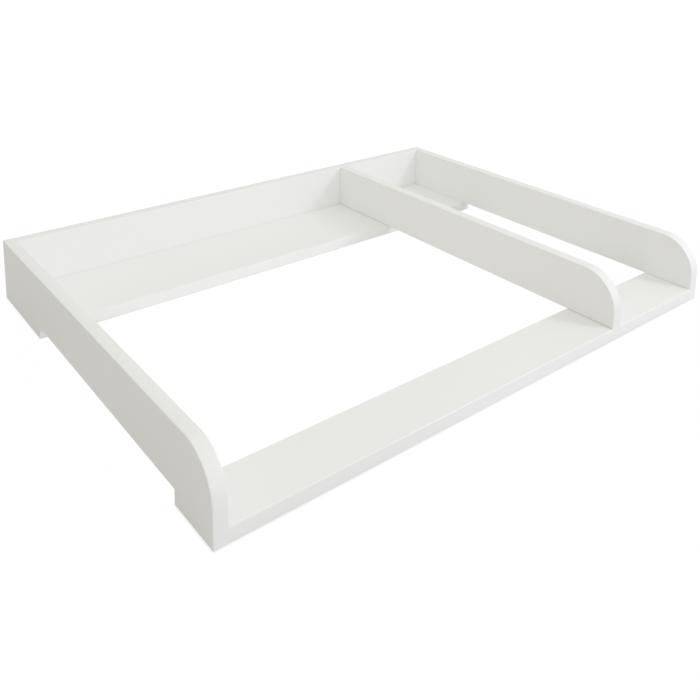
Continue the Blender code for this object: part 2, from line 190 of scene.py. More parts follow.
def board_material():
    """White melamine: a satin film with a fine pearl embossing, slightly uneven sheen, and painted shade that greys
    the colour in the corners and seams.
    """
    n = Nodes("white_melamine")
    flat = n.stretched((1, 1, 1))
    broad = n.noise(flat, 4.5, 3)
    pearl = n.noise(flat, 1500, 2)
    peel = n.noise(flat, 260, 2)
    sheen = n.noise(flat, 38, 4, 0.6)
    film = n.mix(n.span(broad, 0, 1), (0.872, 0.872, 0.858, 1), (0.892, 0.893, 0.882, 1))
    film = n.mix(n.span(pearl, 0, 0.35), film, (0.856, 0.857, 0.844, 1))
    # Painted shade: the colour is mixed towards grey where ambient occlusion finds corners, seams and recesses.
    corner = n.add("AmbientOcclusion", samples=6, inputs={"Distance": 0.006})
    shade = n.span(corner.outputs["AO"], 1, 0, 0.25, 0.75)
    film = n.mix(n.span(shade, 0, 0.3, 0, 1), film, (0.62, 0.61, 0.58, 1))
    n.link(film, "Base Color")
    rough = n.span(sheen, 0.36, 0.47)
    n.link(rough, "Roughness")
    n.shader.inputs["Specular IOR Level"].default_value = 0.5
    n.bumps((peel, 0.05, 0.0002), (pearl, 0.10, 0.00006))
    return n.material


def band_material(name, scale):
    """White plastic banding: smoother than the film, with fine trimming lines along its length and a slightly lighter
    tone along the convex rounded edges.
    """
    n = Nodes(name)
    lines = n.noise(n.stretched(scale), 1.0, 3, 0.65)
    flat = n.stretched((1, 1, 1))
    patch = n.noise(flat, 14, 3)
    grain = n.noise(flat, 900, 2)
    tone = n.mix(n.span(patch, 0, 1), (0.872, 0.872, 0.860, 1), (0.890, 0.891, 0.882, 1))
    tone = n.mix(n.span(lines, 0, 0.4), tone, (0.846, 0.846, 0.832, 1))
    # Lighter along the convex edges, by how pointed the mesh is there.
    geometry = n.add("NewGeometry")
    convex_lightening = n.span(geometry.outputs["Pointiness"], 0, 1, 0.52, 0.60)
    tone = n.mix(n.span(convex_lightening, 0, 0.5, 0, 1), tone, (0.88, 0.88, 0.875, 1))
    n.link(tone, "Base Color")
    n.link(n.span(lines, 0.19, 0.27), "Roughness")
    n.bumps((lines, 0.05, 0.00008), (grain, 0.05, 0.00004))
    return n.material


def raw_edge_material():
    """Bare particle board, in the bores and on the edges that no band covers: pale and dark chips, open and rough."""
    n = Nodes("bare_particle_board")
    flat = n.stretched((1, 1, 1))
    chips = n.noise(n.stretched((500, 500, 1100)), 1.0, 3, 0.6)
    pores = n.noise(flat, 1900, 3, 0.7)
    tone = n.mix(n.span(chips, 0, 1), (0.36, 0.25, 0.15, 1), (0.60, 0.47, 0.32, 1))
    tone = n.mix(n.span(pores, 0, 0.7, 0.52, 0.68), tone, (0.20, 0.13, 0.08, 1))
    n.link(tone, "Base Color")
    n.link(n.span(pores, 0.75, 0.95), "Roughness")
    n.shader.inputs["Specular IOR Level"].default_value = 0.2
    n.bumps((chips, 0.4, 0.0003), (pores, 0.5, 0.0002))
    return n.material


def zinc_material():
    """Die-cast zinc: dull, cloudy, with casting pits and brighter rubbed rims."""
    n = Nodes("die_cast_zinc")
    flat = n.stretched((1, 1, 1))
    cloud = n.noise(flat, 420, 4, 0.6)
    pits = n.noise(flat, 2600, 2)
    tone = n.mix(n.span(cloud, 0, 1), (0.44, 0.44, 0.45, 1), (0.62, 0.62, 0.63, 1))
    rim = n.span(n.add("NewGeometry").outputs["Pointiness"], 0, 1, 0.51, 0.58)
    tone = n.mix(n.span(rim, 0, 0.6, 0, 1), tone, (0.78, 0.78, 0.79, 1))
    n.link(tone, "Base Color")
    n.link(n.span(cloud, 0.34, 0.56), "Roughness")
    n.shader.inputs["Metallic"].default_value = 1.0
    n.bumps((cloud, 0.15, 0.0001), (pits, 0.25, 0.00005))
    return n.material


def steel_material():
    """Zinc-plated steel: bright, faintly blue and yellow, with drawing marks."""
    n = Nodes("zinc_plated_steel")
    flat = n.stretched((1, 1, 1))
    tint = n.noise(flat, 300, 3)
    marks = n.noise(flat, 3200, 3)
    tone = n.mix(n.span(tint, 0, 1), (0.66, 0.68, 0.72, 1), (0.72, 0.70, 0.64, 1))
    n.link(tone, "Base Color")
    n.link(n.span(marks, 0.20, 0.36), "Roughness")
    n.shader.inputs["Metallic"].default_value = 1.0
    n.bumps((marks, 0.12, 0.00004),)
    return n.material


def beech_material():
    """Beech: straight grain along X with short darker flecks, open end grain."""
    n = Nodes("beech")
    grain = n.noise(n.stretched((40, 1400, 1400)), 1.0, 4, 0.6)
    fleck = n.noise(n.stretched((700, 3500, 3500)), 1.0, 2)
    tone = n.mix(n.span(grain, 0, 1), (0.56, 0.37, 0.21, 1), (0.70, 0.52, 0.33, 1))
    tone = n.mix(n.span(fleck, 0, 0.5, 0.58, 0.7), tone, (0.36, 0.21, 0.11, 1))
    n.link(tone, "Base Color")
    n.link(n.span(grain, 0.55, 0.75), "Roughness")
    n.bumps((grain, 0.3, 0.00012), (fleck, 0.2, 0.00006))
    return n.material


BOARD_LOOK = board_material()
RAW_LOOK = raw_edge_material()
SIDE_BAND_LOOK = band_material("edge_band_along_depth", (1500, 9, 9))
CROSS_BAND_LOOK = band_material("edge_band_along_width", (9, 1500, 1500))
UPRIGHT_BAND_LOOK = band_material("edge_band_upright", (1500, 1500, 9))
ZINC_LOOK = zinc_material()
STEEL_LOOK = steel_material()
BEECH_LOOK = beech_material()

# ---------------------------------------------------------------- mesh helpers


def link_mesh(name, bm, look, smooth=None, matrix=None):
    bmesh.ops.recalc_face_normals(bm, faces=bm.faces)
    mesh = bpy.data.meshes.new(name)
    bm.to_mesh(mesh)
    bm.free()
    if smooth is not None:
        mesh.shade_smooth()
        mesh.set_sharp_from_angle(angle=math.radians(smooth))
    if look:
        mesh.materials.append(look)
    obj = bpy.data.objects.new(name, mesh)
    bpy.context.scene.collection.objects.link(obj)
    if matrix is not None:
        obj.matrix_world = matrix
    return obj


def stand_for(obj, node, body="frame"):
    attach(obj, body)
    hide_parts(node)
    return obj


def prism(points, vector):
    bm = bmesh.new()
    face = bm.faces.new([bm.verts.new(point) for point in points])
    swept = bmesh.ops.extrude_face_region(bm, geom=[face])
    moved = [item for item in swept["geom"] if isinstance(item, bmesh.types.BMVert)]
    bmesh.ops.translate(bm, verts=moved, vec=vector)
    return bm


def block(low, high):
    bm = bmesh.new()
    size = high - low
    bmesh.ops.create_cube(
        bm,
        size=1,
        matrix=Matrix.Translation((low + high) / 2) @ Matrix.Diagonal((*size, 1)),
    )
    return bm


def soften(bm, chosen, offset=ARRIS, segments=3):
    """Breaks the arrises that the test chooses, by the two ends of each edge."""
    edges = [e for e in bm.edges if e.calc_face_angle(0) > 0.6 and chosen(*(v.co for v in e.verts))]
    bmesh.ops.bevel(
        bm,
        geom=edges,
        offset=offset,
        offset_type="OFFSET",
        segments=segments,
        profile=0.5,
        affect="EDGES",
        clamp_overlap=True,
    )
    return bm


def turned(bm, rings, steps, matrix, radius_at=None):
    """A closed solid around local Z, from (radius, height) rings. radius_at may vary the radius by angle."""
    loops = []
    for radius, height in rings:
        if radius == 0:
            loops.append([bm.verts.new(matrix @ Vector((0, 0, height)))])
            continue
        loop = []
        for i in range(steps):
            angle = 2 * math.pi * i / steps
            r = radius if radius_at is None else radius_at(radius, height, angle)
            loop.append(
                bm.verts.new(
                    matrix @ Vector((r * math.cos(angle), r * math.sin(angle), height))
                )
            )
        loops.append(loop)
    for lower, upper in zip(loops, loops[1:]):
        for i in range(steps):
            j = (i + 1) % steps
            if len(lower) == 1:
                bm.faces.new((lower[0], upper[j], upper[i]))
            elif len(upper) == 1:
                bm.faces.new((lower[i], lower[j], upper[0]))
            else:
                bm.faces.new((lower[i], lower[j], upper[j], upper[i]))


def hole(bm, radius, start, direction, length, steps=40):
    turned(
        bm,
        [(0, 0), (radius, 0), (radius, length), (0, length)],
        steps,
        along(start, direction),
    )


def subtract(obj, name, cutter_mesh):
    """Cuts the holes out of the object and keeps the result as its own mesh."""
    cutter = link_mesh(obj.name + "_" + name, cutter_mesh, None)
    modifier = obj.modifiers.new(name, "BOOLEAN")
    modifier.operation = "DIFFERENCE"
    modifier.solver = "EXACT"
    modifier.object = cutter
    bpy.context.view_layer.update()
    graph = bpy.context.evaluated_depsgraph_get()
    mesh = bpy.data.meshes.new_from_object(obj.evaluated_get(graph))
    looks = list(obj.data.materials)
    obj.modifiers.clear()
    obj.data = mesh
    obj.data.materials.clear()
    for look in looks:
        obj.data.materials.append(look)
    for polygon in obj.data.polygons:
        polygon.material_index = 0
    bpy.data.objects.remove(cutter, do_unlink=True)
    return obj


# ---------------------------------------------------------------- boards and banding


def corner_path(inset, rear_y, low_z, stops=False):
    radius = CORNER_R - inset
    path = [(rear_y, HEIGHT - inset, 0.0, 1.0)]
    if stops:
        path += [(y, HEIGHT - inset, 0.0, 1.0) for y in (BACK_FRONT, BACK_FRONT - FLUSH_RUN)]
    for i in range(ARC_STEPS + 1):
        angle = math.pi / 2 * (1 + i / ARC_STEPS)
        path.append(
            (
                CORNER_R + radius * math.cos(angle),
                HEIGHT - CORNER_R + radius * math.sin(angle),
                math.cos(angle),
                math.sin(angle),
            )
        )
    if stops:
        path += [(inset, z, -1.0, 0.0) for z in (BOARD + FLUSH_RUN, BOARD)]
    path.append((inset, low_z, -1.0, 0.0))
    return path


def half_section(rounding):
    half = [(0.0, 0.0), (0.0, BAND - rounding)]
    for i in range(1, ROUND_STEPS + 1):
        angle = math.pi / 2 * i / ROUND_STEPS
        half.append((rounding * (1 - math.cos(angle)), BAND - rounding + rounding * math.sin(angle)))
    return half


def band_section(width, first=BAND_ROUND, last=BAND_ROUND):
    """The rounding is the same on both sides, unless a side runs flush into another board."""
    return half_section(first) + [(width - across, outward) for across, outward in reversed(half_section(last))]


def swept_band(node, stations, look):
    bm = bmesh.new()
    rings = [
        [bm.verts.new(point + across * u + outward * v) for u, v in section]
        for point, across, outward, section in stations
    ]
    for first, second in zip(rings, rings[1:]):
        for i in range(len(first)):
            j = (i + 1) % len(first)
            bm.faces.new((first[i], first[j], second[j], second[i]))
    bm.faces.new(rings[0])
    bm.faces.new(rings[-1])
    piece = link_mesh("fine_" + node, bm, look, 35)
    return stand_for(piece, node)


def corner_band(node, left_x, rear_y, low_z, inner=None):
    """inner is the side, 0 or 1, that the front board and the back panel run into, where the band is flush."""
    plain = band_section(BOARD)
    flush = plain
    if inner is not None:
        flush = band_section(BOARD, FLUSH) if inner == 0 else band_section(BOARD, BAND_ROUND, FLUSH)
    swept_band(
        node,
        [
            (
                place(left_x, y, z),
                X_AXIS,
                Vector((0, oy, oz)),
                flush if y > BACK_FRONT - EPS or z < BOARD + EPS else plain,
            )
            for y, z, oy, oz in corner_path(BAND, rear_y, low_z, inner is not None)
        ],
        SIDE_BAND_LOOK,
    )


def straight_band(node, start, end, across, outward, look):
    section = band_section(BOARD)
    swept_band(
        node,
        [(start, across, outward, section), (end, across, outward, section)],
        look,
    )


INSET = BAND + GLUE
TIGHT = 0.03 * MM
FLUSH, FLUSH_RUN = 0.1 * MM, 2.5 * MM
LEFT_IN, RIGHT_IN = BOARD + TIGHT, WIDTH - BOARD - TIGHT
RIGHT_SEAM = WIDTH - BOARD - GAP
SEAM_ARRIS = 0.7 * MM
BACK_FRONT = DEPTH - BOARD
DIVIDER_X = DIVIDER[0].x - LOW.x
DIVIDER_REAR = DIVIDER[1].y - LOW.y
DIVIDER_LOW = DIVIDER[0].z - LOW.z
EPS = 0.01 * MM


def panel_outline(left_x, rear_y, low_z, notched):
    outline = [(y, z) for y, z, _, _ in corner_path(INSET, rear_y, low_z)]
    if notched:
        outline += [
            (FRONT_FOOT, low_z),
            (FRONT_FOOT, BOARD),
            (REAR_FOOT_START, BOARD),
            (REAR_FOOT_START, low_z),
        ]
    outline.append((rear_y, low_z))
    return prism([place(left_x, y, z) for y, z in outline], X_AXIS * BOARD)


def made_boards():
    boards = {}
    for node, left_x in (("side_panel_left", 0.0), ("side_panel_right", WIDTH - BOARD)):
        bm = panel_outline(left_x, DEPTH - INSET, 0.0, True)
        front, rear = LOW.y + INSET + EPS, HIGH.y - INSET - EPS

        def notch_edge(a, b):
            low = max(a.z, b.z) < LOW.z + BOARD + EPS
            at_band = (a.y < front and b.y < front) or (a.y > rear and b.y > rear)
            return low and not at_band

        boards[node] = link_mesh("fine_" + node, soften(bm, notch_edge), BOARD_LOOK)
    bm = panel_outline(DIVIDER_X, DIVIDER_REAR, DIVIDER_LOW, False)

    def divider_edge(a, b):
        low = max(a.z, b.z) < LOW.z + DIVIDER_LOW + EPS
        back = min(a.y, b.y) > LOW.y + DIVIDER_REAR - EPS
        top = min(a.z, b.z) > HIGH.z - INSET - EPS
        return (low or back) and not (top and back) and max(a.y, b.y) > LOW.y + INSET + EPS

    boards["divider"] = link_mesh("fine_divider", soften(bm, divider_edge, SEAM_ARRIS), BOARD_LOOK)
    for node, low, high, broken, offset in (
        (
            "back_panel",
            (LEFT_IN, BACK_FRONT, 0),
            (RIGHT_IN, DEPTH, HEIGHT - INSET),
            lambda a, b: max(a.z, b.z) < LOW.z + EPS,
            0.3 * MM,
        ),
        (
            "front_board",
            (LEFT_IN, INSET, 0),
            (RIGHT_SEAM, FRONT_DEPTH - INSET, BOARD),
            lambda a, b: min(a.x, b.x) > LOW.x + RIGHT_SEAM - EPS and min(a.z, b.z) > LOW.z + BOARD - EPS,
            SEAM_ARRIS,
        ),
        (
            "rear_board",
            (LEFT_IN, REAR_START + INSET, 0),
            (RIGHT_IN, BACK_FRONT - GAP, BOARD),
            lambda a, b: min(a.y, b.y) > LOW.y + BACK_FRONT - GAP - EPS,
            0.3 * MM,
        ),
    ):
        bm = soften(block(place(*low), place(*high)), broken, offset)
        boards[node] = link_mesh("fine_" + node, bm, BOARD_LOOK)
    return boards


BOARDS = made_boards()
corner_band("edge_band_left_panel", 0.0, DEPTH, 0.0, 1)
corner_band("edge_band_right_panel", WIDTH - BOARD, DEPTH, 0.0, 0)
corner_band("edge_band_divider", DIVIDER_X, DIVIDER_REAR, DIVIDER_LOW)
for node, left_x in (
    ("edge_band_left_panel_rear", 0.0),
    ("edge_band_right_panel_rear", WIDTH - BOARD),
):
    straight_band(
        node,
        place(left_x, DEPTH - BAND, 0),
        place(left_x, DEPTH - BAND, HEIGHT - INSET),
        X_AXIS,
        Y_AXIS,
        UPRIGHT_BAND_LOOK,
    )
straight_band(
    "edge_band_back_panel",
    place(LEFT_IN, BACK_FRONT, HEIGHT - BAND),
    place(RIGHT_IN, BACK_FRONT, HEIGHT - BAND),
    Y_AXIS,
    Z_AXIS,
    CROSS_BAND_LOOK,
)
for node, y, outward in (
    ("edge_band_front_board_front", BAND, -Y_AXIS),
    ("edge_band_front_board_rear", FRONT_DEPTH - BAND, Y_AXIS),
    ("edge_band_rear_board", REAR_START + BAND, -Y_AXIS),
):
    straight_band(node, place(LEFT_IN, y, 0), place(RIGHT_IN, y, 0), Z_AXIS, outward, CROSS_BAND_LOOK)

# ---------------------------------------------------------------- fittings


def thread(height, angle, pitch):
    """0 at the root and 1 at the crest of a helical thread."""
    turn = (height / pitch - angle / (2 * math.pi)) % 1.0
    return 1 - abs(2 * turn - 1)


def screw_bm():
    head = [
        (0, 0),
        (SCREW_HEAD_R - 0.15 * MM, 0),
        (SCREW_HEAD_R, 0.12 * MM),
        (SCREW_HEAD_R, 0.45 * MM),
        (SCREW_R * 0.85, 2.75 * MM),
        (SCREW_R * 0.85, 12 * MM),
    ]
    start, end, pitch = 12.4 * MM, SCREW_LENGTH - 0.6 * MM, 1.8 * MM
    count = 150
    body = [(SCREW_R, start + (end - start) * i / count) for i in range(count + 1)]

    def radius(r, z, angle):
        if z < start:
            return r
        taper = min(1.0, (SCREW_LENGTH - z) / (4 * MM))
        rise = min(1.0, (z - start) / (2 * MM))
        core = SCREW_R * 0.66
        crest = (SCREW_R - core) * max(0.0, thread(z, angle, pitch) * 1.6 - 0.6)
        return (core + crest * rise) * (0.12 + 0.88 * taper)

    bm = bmesh.new()
    turned(bm, head + body + [(0, SCREW_LENGTH)], 28, Matrix.Identity(4), radius)
    return bm


def recess_bms(half_length, half_width, depth):
    bars = []
    for dx, dy in ((half_length, half_width), (half_width, half_length)):
        bm = bmesh.new()
        low, high = -1 * MM, depth
        top = 0.55
        loops = []
        for z, k in ((low, 1.0), (0.0, 1.0), (high, top)):
            kx = k if dx > dy else 1 - (1 - k) * 0.5
            ky = k if dy > dx else 1 - (1 - k) * 0.5
            loops.append(
                [
                    bm.verts.new((sx * dx * kx, sy * dy * ky, z))
                    for sx, sy in ((-1, -1), (1, -1), (1, 1), (-1, 1))
                ]
            )
        for a, b in zip(loops, loops[1:]):
            for i in range(4):
                j = (i + 1) % 4
                bm.faces.new((a[i], a[j], b[j], b[i]))
        bm.faces.new(loops[0])
        bm.faces.new(loops[-1])
        bars.append(bm)
    return bars


def master(name, bm, cutters, look, smooth):
    """One mesh, cut, that all the copies of a fitting share."""
    blank = link_mesh(name, bm, look)
    for i, cutter in enumerate(cutters):
        subtract(blank, f"{name}_{i}", cutter)
    mesh = blank.data
    bpy.data.objects.remove(blank, do_unlink=True)
    mesh.shade_smooth()
    mesh.set_sharp_from_angle(angle=math.radians(smooth))
    return mesh


def cam_bm():
    bm = bmesh.new()
    c = 0.45 * MM
    turned(
        bm,
        [
            (0, 0),
            (CAM_R - 2.2 * c, 0),
            (CAM_R - c, 0.15 * MM),
            (CAM_R - 0.3 * c, 0.35 * MM),
            (CAM_R, 0.8 * MM),
            (CAM_R, CAM_HEIGHT - c),
            (CAM_R - c, CAM_HEIGHT),
            (0, CAM_HEIGHT),
        ],
        72,
        Matrix.Identity(4),
    )
    axis_z = BOARD / 2 - CAM_RECESS
    cavity = bmesh.new()
    hole(cavity, CAM_CAVITY_R, Vector((0, 0, axis_z - CAM_CAVITY_HALF)), Z_AXIS, 2 * CAM_CAVITY_HALF, 48)
    count = 52
    angles = [math.radians(-30 + 256 * i / count) for i in range(count + 1)]
    inner, outer = CAM_CAVITY_R - 0.6 * MM, CAM_R + MM
    low, high = axis_z - CAM_SLOT_HALF, axis_z + CAM_SLOT_HALF
    ring = [Vector((outer * math.cos(a), outer * math.sin(a), low)) for a in angles]
    ring += [Vector((inner * math.cos(a), inner * math.sin(a), low)) for a in reversed(angles)]
    slot = prism(ring, Vector((0, 0, high - low)))
    window = block(
        Vector((2.6 * MM, -3.7 * MM, axis_z - 3.7 * MM)),
        Vector((CAM_R + MM, 3.7 * MM, axis_z + 3.7 * MM)),
    )
    bmesh.ops.rotate(
        window,
        verts=window.verts,
        cent=(0, 0, 0),
        matrix=Matrix.Rotation(math.radians(200), 3, "Z"),
    )
    # A plain triangular mark in the mouth points at the bolt.
    mark = prism(
        [
            Vector((6.2 * MM, 0, -MM)),
            Vector((4.6 * MM, 0.9 * MM, -MM)),
            Vector((4.6 * MM, -0.9 * MM, -MM)),
        ],
        Vector((0, 0, 1.4 * MM)),
    )
    return bm, [cavity, slot, window, mark, *recess_bms(3.4 * MM, 0.8 * MM, 3 * MM)]


def bolt_bm():
    neck = CAM_SETBACK - CAM_BORE_R - 0.6 * MM
    start, pitch, count = -11.5 * MM, 1.25 * MM, 60
    body = [(2.6 * MM, start + 0.8 * MM + (10.4 * MM) * i / count) for i in range(count + 1)]

    def radius(r, z, angle):
        if z > -0.2 * MM or r < 2.0 * MM:
            return r
        return 2.05 * MM + 0.55 * MM * thread(z, angle, pitch)

    bm = bmesh.new()
    turned(
        bm,
        [
            (0, start),
            (1.7 * MM, start),
            *body,
            (2.3 * MM, 0.0),
            (2.3 * MM, 0.4 * MM),
            (3.2 * MM, 0.4 * MM),
            (3.4 * MM, 0.6 * MM),
            (3.4 * MM, neck - 0.2 * MM),
            (3.2 * MM, neck),
            (1.5 * MM, neck + 0.6 * MM),
            (1.5 * MM, CAM_SETBACK - 2.6 * MM),
            (3.0 * MM, CAM_SETBACK - 2.3 * MM),
            (3.2 * MM, CAM_SETBACK - 2.0 * MM),
            (3.2 * MM, CAM_SETBACK - 0.8 * MM),
            (2.8 * MM, CAM_SETBACK - 0.3 * MM),
            (2.2 * MM, CAM_SETBACK),
            (0, CAM_SETBACK),
        ],
        32,
        Matrix.Identity(4),
        radius,
    )
    return bm


def dowel_bm():
    start, end = -12 * MM, 28 * MM

    def radius(r, z, angle):
        if r < DOWEL_R - 0.01 * MM:
            return r
        flute = abs(math.sin(angle * 7))
        return DOWEL_R - 0.28 * MM * max(0.0, 1 - flute * 2.4)

    bm = bmesh.new()
    turned(
        bm,
        [
            (0, start),
            (DOWEL_R - 1.1 * MM, start),
            (DOWEL_R - 0.5 * MM, start + 0.5 * MM),
            (DOWEL_R, start + 1.2 * MM),
            (DOWEL_R, end - 1.2 * MM),
            (DOWEL_R - 0.5 * MM, end - 0.5 * MM),
            (DOWEL_R - 1.1 * MM, end),
            (0, end),
        ],
        84,
        Matrix.Identity(4),
        radius,
    )
    return bm


CAM = master("fine_cam", *cam_bm(), ZINC_LOOK, 12)
SCREW = master("fine_screw", screw_bm(), recess_bms(2.3 * MM, 0.5 * MM, 2.0 * MM), STEEL_LOOK, 30)
BOLT = master("fine_bolt", bolt_bm(), [], STEEL_LOOK, 40)
DOWEL = master("fine_dowel", dowel_bm(), [], BEECH_LOOK, 30)


def copy_of(mesh, node, matrix, body="frame"):
    obj = bpy.data.objects.new("fine_" + node, mesh)
    bpy.context.scene.collection.objects.link(obj)
    obj.matrix_world = matrix
    bpy.context.view_layer.update()
    return stand_for(obj, node, body)


def middle(node):
    low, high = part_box(node)
    return (low + high) / 2


CAM_HOLES = {name: bmesh.new() for name in ("front_board", "rear_board", "back_panel")}
HOLES = {name: bmesh.new() for name in BOARDS}
BOARD_OF = {"front": "front_board", "rear": "rear_board", "back": "back_panel"}
SIDES = {
    "left": (LOW.x + BOARD, X_AXIS, "side_panel_left"),
    "right": (HIGH.x - BOARD, -X_AXIS, "side_panel_right"),
}

for node in sorted(frame["nodes"]):
    words = node.split("_")
    if node.startswith(("cam_", "dowel_")):
        where, side = (words[2], words[3]) if words[1] == "bolt" else (words[1], words[2])
        face_x, inward, panel = SIDES[side]
        board = BOARD_OF[where]
        centre = middle(node)
        face = Vector((face_x, centre.y, centre.z))
    if node.startswith("cam_bolt_"):
        copy_of(BOLT, node, along(face, inward))
        hole(HOLES[board], 4.0 * MM, face - inward * MM, inward, CAM_SETBACK + MM)
        hole(HOLES[panel], 2.9 * MM, face + inward * MM, -inward, 13.5 * MM)
    elif node.startswith("cam_"):
        mouth = Y_AXIS if where == "back" else -Z_AXIS
        into, to_bolt = -mouth, -inward
        depth = CAM_RECESS + CAM_HEIGHT / 2
        on_face = centre - into * depth
        turn = Matrix((to_bolt, into.cross(to_bolt), into)).transposed().to_4x4()
        copy_of(CAM, node, Matrix.Translation(on_face + into * CAM_RECESS) @ turn, node + "_turn")
        hole(CAM_HOLES[board], CAM_BORE_R, on_face - into * 2 * MM, into, CAM_BORE_DEPTH + 2 * MM, 64)
    elif node.startswith("dowel_"):
        copy_of(DOWEL, node, along(face, inward))
        hole(HOLES[board], 4.3 * MM, face - inward * MM, inward, 29.4 * MM)
        hole(HOLES[panel], 4.3 * MM, face + inward * MM, -inward, 13.4 * MM)
    elif node.startswith("screw_"):
        centre = middle(node)
        upright = "divider_front" in node or "divider_rear" in node
        direction = Z_AXIS if upright else -Y_AXIS
        head = centre - direction * SCREW_LENGTH / 2
        mouth = head - direction * SCREW_RECESS
        copy_of(SCREW, node, along(head, direction))
        first = "back_panel" if not upright else ("front_board" if "front" in node else "rear_board")
        second = "rear_board" if "rear_board" in node else "divider"
        for board in (first, second):
            turned(
                HOLES[board],
                [
                    (0, -2 * MM),
                    (4.3 * MM, -2 * MM),
                    (4.3 * MM, 1.2 * MM),
                    (2.2 * MM, 3.5 * MM),
                    (2.2 * MM, SCREW_LENGTH + 1.2 * MM),
                    (0, SCREW_LENGTH + 1.2 * MM),
                ],
                40,
                along(mouth, direction),
            )

def bare_edges(obj, name):
    """Shows the core in the bores, at the board ends, and along the edges that no band covers."""
    obj.data.materials.append(RAW_LOOK)
    low = Vector([min(v.co[i] for v in obj.data.vertices) for i in range(3)])
    high = Vector([max(v.co[i] for v in obj.data.vertices) for i in range(3)])
    foot = low.z + (SEAM_ARRIS if name == "divider" else 0.3 * MM) + EPS
    right_end = high.x - SEAM_ARRIS - EPS
    for polygon in obj.data.polygons:
        points = [obj.data.vertices[i].co for i in polygon.vertices]
        inside = all(
            min(p[i] for p in points) > low[i] + 0.05 * MM or max(p[i] for p in points) < high[i] - 0.05 * MM
            for i in range(3)
        )
        if name == "divider":
            bare = max(p.z for p in points) < foot
        else:
            walls = abs(polygon.normal.dot(BORE_AXIS[name])) < 0.5
            clear = all(low[i] + MM < polygon.center[i] < high[i] - MM for i in range(3) if not BORE_AXIS[name][i])
            bare = (walls and clear) or (
                inside and clear and abs(polygon.center.dot(BORE_AXIS[name]) - low.dot(BORE_AXIS[name])) > MM
                and abs(high.dot(BORE_AXIS[name]) - polygon.center.dot(BORE_AXIS[name])) > MM
            )
            bare = bare or abs(polygon.normal.x) > 0.95 and not clear
            if name == "front_board":
                bare = bare or min(p.x for p in points) > right_end
            if name == "back_panel":
                bare = bare or max(p.z for p in points) < foot
        polygon.material_index = 1 if bare else 0


BORE_AXIS = {"front_board": Z_AXIS, "rear_board": Z_AXIS, "back_panel": Y_AXIS}
for name, obj in BOARDS.items():
    if name in CAM_HOLES:
        subtract(obj, "cam_bores", CAM_HOLES[name])
    subtract(obj, "bores", HOLES[name])
    if name == "divider" or name in BORE_AXIS:
        bare_edges(obj, name)
    stand_for(obj, name)

# ---------------------------------------------------------------- floor, light and camera


